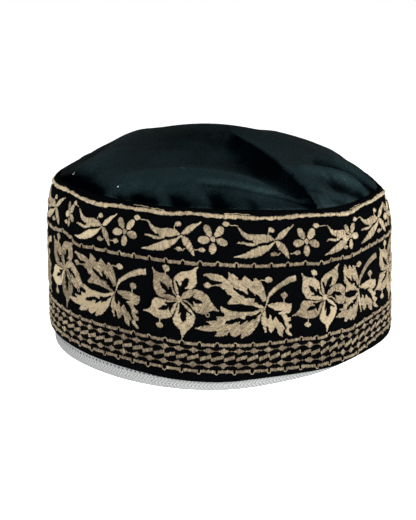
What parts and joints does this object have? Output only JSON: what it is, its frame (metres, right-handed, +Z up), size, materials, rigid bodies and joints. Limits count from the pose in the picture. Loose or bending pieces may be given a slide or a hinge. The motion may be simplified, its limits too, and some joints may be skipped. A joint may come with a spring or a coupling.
{
  "type": "kufi cap",
  "caption": "Soft brimless kufi cap: a gathered black crown on an upright embroidered band, with a white band inside the rim and an open head hollow.",
  "frame": {"origin": "centre of the cap's plan, on the surface that it stands on", "axes": "+Z up, -Y towards the side that faces the viewer, +X to the viewer's right"},
  "size_m": [0.1758, 0.1836, 0.1011],
  "materials": {
    "crown_cloth": "black cotton with a soft sheen",
    "band_cloth": "matt black cloth",
    "embroidery_thread": "tan rayon thread with a satin sheen",
    "white_twill": "white cotton twill, matt"
  },
  "bodies": {
    "root": {"crown": "crown_cloth", "band": "band_cloth", "top_border": "embroidery_thread", "inner_band": "white_twill"}
  },
  "joints": []
}
